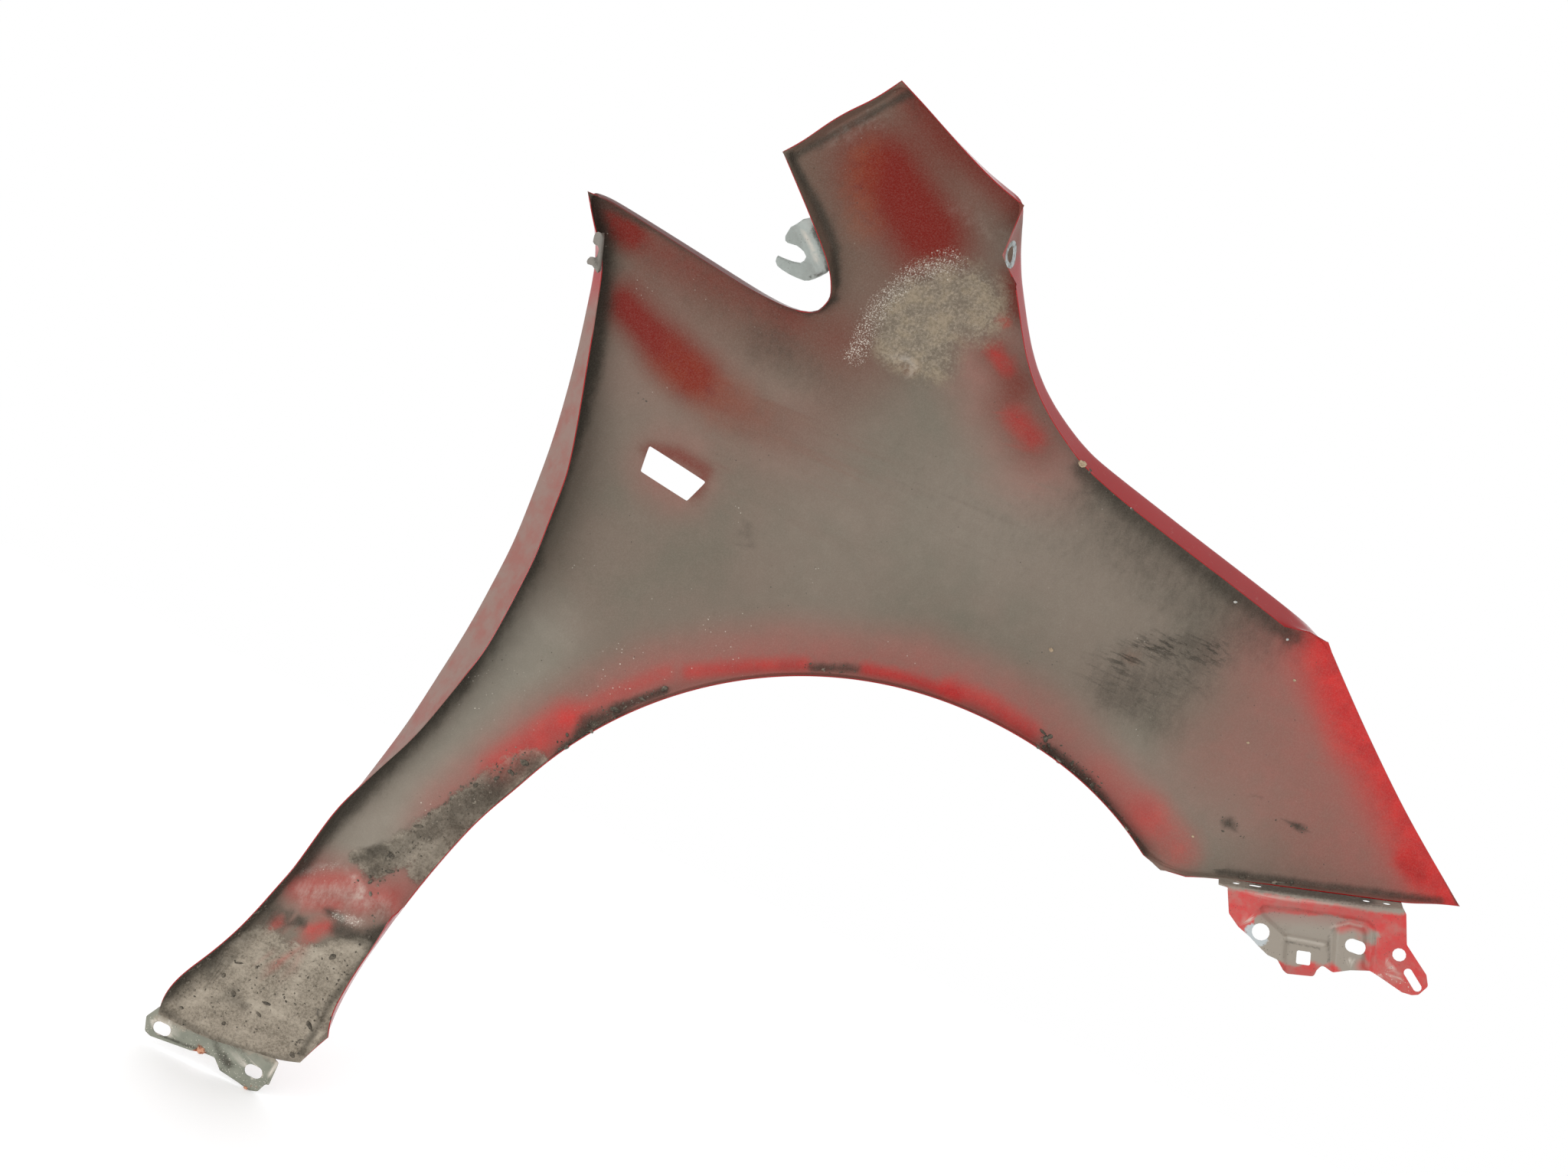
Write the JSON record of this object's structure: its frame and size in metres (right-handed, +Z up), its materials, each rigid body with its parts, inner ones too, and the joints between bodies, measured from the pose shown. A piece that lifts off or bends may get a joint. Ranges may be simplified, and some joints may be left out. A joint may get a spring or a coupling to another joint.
{
  "type": "car front fender",
  "caption": "Left front car fender from a scrapped car: a pressed steel skin with wheel arch, lamp hole and windscreen-pillar neck, and its welded fixing brackets.",
  "frame": {"origin": "on the sill bracket's outboard bolt face, midway between its two slots and just above their line", "axes": "+X to the car's front, +Y outboard (to the car's left), +Z up"},
  "size_m": [0.904, 0.2022, 0.9172],
  "materials": {
    "body_paint": "glossy red outside, thin grey-brown primer with red overspray and dirt inside",
    "bracket_paint": "red paint over grey primer, dirty in the hollows",
    "sill_primer": "dull greenish grey primer with dirt and rust",
    "hook_steel": "pale grey primer, speckled",
    "clip_steel": "dull dark grey primer"
  },
  "bodies": {
    "root": {"fender_skin": "body_paint", "bumper_bracket": "bracket_paint", "sill_bracket": "sill_primer", "glass_hook": "hook_steel", "pillar_clip": "clip_steel"}
  },
  "joints": []
}
